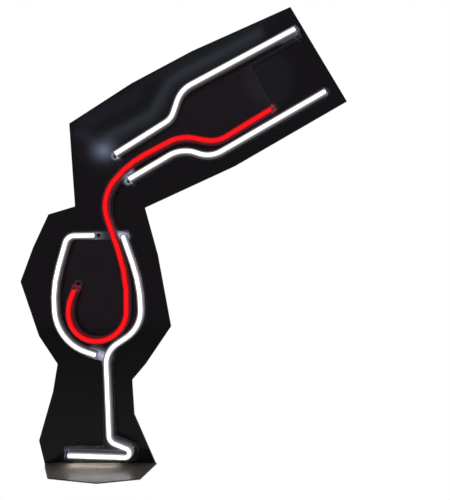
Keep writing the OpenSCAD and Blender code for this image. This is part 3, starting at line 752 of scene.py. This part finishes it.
steel = metal("zinc-plated steel", (0.62, 0.63, 0.66), 0.24, 0.42)
turned = metal("turned aluminium", (0.78, 0.78, 0.8), 0.2, 0.34)
mask_green = moulded("green solder mask", (0.012, 0.1, 0.035), 0.25, 0.4, 900, 0.00003, 0.5)
tape_film = moulded("amber film", (0.55, 0.36, 0.14), 0.3, 0.45, 900, 0.00002, 0.5)


def led(name, colour, glow, strength):
    finish = Finish(name, colour, 0.3, Emission_Strength=strength)
    grain = finish.group(GRAIN, Scale=900, Drift_Scale=300)
    brighter = [min(1, c * 1.15) for c in glow]
    finish.feed(finish.ramp(grain.outputs["Drift"], [(0.3, glow), (0.8, brighter)]), "Emission Color")
    return finish.material


led_white = led("white LED", (0.85, 0.8, 0.5), (0.8, 0.85, 1.0), 1.5)
led_red = led("red LED", (0.8, 0.3, 0.25), (1.0, 0.02, 0.02), 1.5)
print("made:", steel.name, turned.name, mask_green.name, tape_film.name, led_white.name, led_red.name)

# %% [markdown]
# ## Finishes for the pieces that stay as they are
# Most hard pieces already have their right shape in the frame, so they only need the right finish in
# their slot. They could be rebuilt here like the knob, but that would repeat shapes that are already
# exact.

# %% Hand out the finishes
finishes = {
    "backing_panel": polished.material, "foot_ledge": satin.material, "ledge_screws": steel,
    "wall_bosses": black_plastic, "carrier_plate": acrylic.material, "carrier_spacers": spacer_clear.material,
    "lead_clips": black_plastic, "box_tape": foam, "box_base": black_plastic, "box_lid": black_plastic,
    "box_screws": steel, "control_board": mask_green, "board_parts": part_plastic, "dc_inlet": part_plastic,
    "inlet_pin": steel, "dimmer_body": blue_plastic, "dimmer_shaft": turned, "switch_body": part_plastic,
}
for run in ROUTES:
    finishes["strip_" + run] = tape_film
    finishes["leds_" + run] = led_red if run == "wine" else led_white
for node, material in finishes.items():
    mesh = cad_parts[node].data
    mesh.materials.clear()
    mesh.materials.append(material)
print("finished nodes:", len(finishes))

# %% [markdown]
# ## Stage and light
# A pale floor lies well below the sign. The room is white where the camera looks straight at it but dim
# as a source of reflections, as in a dark room with a bright screen far behind: black gloss shows
# everything around it, and a bright room would turn the panel grey.

# %% Floor and world
FLOOR_HALF, FLOOR_Z = 3, -0.56

bm = bmesh.new()
bmesh.ops.create_grid(bm, x_segments=1, y_segments=1, size=FLOOR_HALF)
bmesh.ops.translate(bm, verts=bm.verts, vec=(0, 0, FLOOR_Z))
floor = into_object(bm, "floor")


def seen_or_felt(tree, seen, felt, out):
    """White to the camera's eye, dim to everything else."""
    path = tree.nodes.new("ShaderNodeLightPath")
    mix = tree.nodes.new("ShaderNodeMixShader")
    tree.links.new(path.outputs["Is Camera Ray"], mix.inputs["Fac"])
    tree.links.new(felt, mix.inputs[1])
    tree.links.new(seen, mix.inputs[2])
    tree.links.new(mix.outputs["Shader"], out)


pale = bpy.data.materials.new("pale floor")
pale.use_nodes = True
nodes = pale.node_tree.nodes
nodes["Principled BSDF"].inputs["Base Color"].default_value = (0.5, 0.5, 0.5, 1)
nodes["Principled BSDF"].inputs["Roughness"].default_value = 0.9
bright = nodes.new("ShaderNodeEmission")
seen_or_felt(pale.node_tree, bright.outputs["Emission"], nodes["Principled BSDF"].outputs["BSDF"],
             nodes["Material Output"].inputs["Surface"])
floor.data.materials.append(pale)

world = bpy.data.worlds.new("dim room")
world.use_nodes = True
bpy.context.scene.world = world
nodes = world.node_tree.nodes
white, dim = nodes["Background"], nodes.new("ShaderNodeBackground")
white.inputs["Color"].default_value = (1, 1, 1, 1)
dim.inputs["Color"].default_value = (1.0, 0.86, 0.98, 1)
dim.inputs["Strength"].default_value = 0.12
seen_or_felt(world.node_tree, white.outputs["Background"], dim.outputs["Background"],
             nodes["World Output"].inputs["Surface"])
print("floor at", FLOOR_Z, "m, world:", world.name)

# %% [markdown]
# ## The lights
# Polished black acrylic shows what it mirrors, so a pale patch on it is the image of a lamp.
# `seen_in_panel` works back from the place of a patch to the place of its lamp, and `sheen` puts a dim
# strip there. The strips make the band that echoes the top tube, the bluish haze round the bottle and the
# flare at its mouth. One large lamp moved about by hand could do it too, but then every patch changes at
# once. The images hold for this camera and shift when it moves. Two more lamps, hidden from the camera
# and from reflections, stand in for the light that the foot's tube throws on the ledge, so that its width
# and strength can be set on their own. Three plain softboxes light the top and the back.

# %% Lights
FIRST_LAMP_Y, LAMP_GAP = -1.53, 4 * MM
TOWARDS_PANEL = Vector((0, 1, 0))


def softbox(name, at, aim, width, height, power):
    data = bpy.data.lights.new(name, "AREA")
    data.shape = "RECTANGLE"
    data.size, data.size_y, data.energy = width, height, power
    lamp = bpy.data.objects.new(name, data)
    facing = (Vector(aim) - Vector(at)).to_track_quat("-Z", "Y").to_matrix().to_4x4()
    lamp.matrix_world = Matrix.Translation(at) @ facing
    bpy.context.scene.collection.objects.link(lamp)
    return lamp


def seen_in_panel(x, z, y):
    """Where a lamp has to stand for the camera to see it mirrored in the panel at x, z (in millimetres)."""
    at = in_front(x, z, PANEL_FRONT / MM)
    mirrored = Vector((view_from.x, 2 * PANEL_FRONT - view_from.y, view_from.z))
    return mirrored + (at - mirrored) * (y - mirrored.y) / (at.y - mirrored.y)


def sheen(name, start, end, width, level, tint, shape="RECTANGLE"):
    """A softbox whose mirrored image lies on the panel from start to end; level is its brightness."""
    # no two lamps in one plane, so none hides another
    stands_at = FIRST_LAMP_Y - LAMP_GAP * len(bpy.data.lights)
    a, b = seen_in_panel(*start, stands_at), seen_in_panel(*end, stands_at)
    middle, along = (a + b) / 2, (b - a).normalized()
    length, height = (b - a).length, width * (b - a).length / (Vector(end) - Vector(start)).length
    lamp = softbox(name, middle, middle + TOWARDS_PANEL, length, height, level * pi * length * height)
    facing = Matrix((along, along.cross(TOWARDS_PANEL), Vector((0, -1, 0)))).transposed().to_4x4()
    lamp.matrix_world = Matrix.Translation(middle) @ facing
    lamp.data.color, lamp.data.shape = tint, shape


HAZE, ECHO = (0.5, 0.72, 1.0), (0.62, 0.8, 1.0)
sheen("haze by the mouth", (-112, -27), (-46, 9), 15, 0.16, HAZE)
sheen("haze by the shoulder", (-50, 14), (5, 46.5), 8, 0.16, HAZE)
sheen("haze along the top", (5, 46.5), (96, 88.5), 7, 0.13, HAZE)
sheen("haze over the base", (60, 22), (112, 22), 60, 0.06, (0.75, 0.95, 1.0), "ELLIPSE")
band = [(-85, -40), (-36, -14), (-26.5, 3), (-19, 18), (-5, 28.5), (38, 50.5), (80, 73)]
SPILL_X, SPILL_Z = 3, -5
for start, end in zip(band, band[1:]):
    sheen("echo of the top tube", start, end, 5.5, 0.75, ECHO)
    spill_start, spill_end = [(x + SPILL_X, z + SPILL_Z) for x, z in (start, end)]
    sheen("spill beside the echo", spill_start, spill_end, 7, 0.22, ECHO)
FLARE_X, FLARE_Z, FLARE = -86.5, -53, (0.58, 0.68, 1.0)
for size, level in ((32, 0.5), (22, 0.7), (14, 1.4), (8, 1.8)):
    left, right = (FLARE_X - size / 2, FLARE_Z), (FLARE_X + size / 2, FLARE_Z)
    sheen("flare at the mouth", left, right, size * 0.8, level, FLARE, "ELLIPSE")
sheen("violet flare", (-118, -33), (-96, -43), 6, 0.5, (0.5, 0.5, 1.0))

# the light that the foot's tube throws down on the ledge: name, y, z, width in mm, brightness
FOOT_X, FOOT_LONG, BELOW = -94.5, 49, 9
POOLS = [("under the foot", -38.5, -374.4, 13, 12.0), ("ahead of the foot", -62, -364, 12, 4.2)]
for name, y, z, width, level in POOLS:
    pool = softbox(name, in_front(FOOT_X, z, y), in_front(FOOT_X, z - BELOW, y), FOOT_LONG * MM, width * MM,
                   level * pi * FOOT_LONG * width * MM * MM)
    pool.data.color = (1.0, 0.92, 0.86)
    pool.visible_camera = pool.visible_glossy = pool.visible_transmission = False
SIGN_MIDDLE = (0, 0, -0.15)
softbox("top", (0.1, 0.6, 1.6), SIGN_MIDDLE, 1.4, 0.8, 5)
softbox("back left", (-1.4, 1.3, 0.8), SIGN_MIDDLE, 1.0, 1.0, 14)
softbox("back right", (1.5, 1.0, 0.1), SIGN_MIDDLE, 0.8, 1.4, 12)
bpy.context.scene.view_settings.view_transform = "Standard"
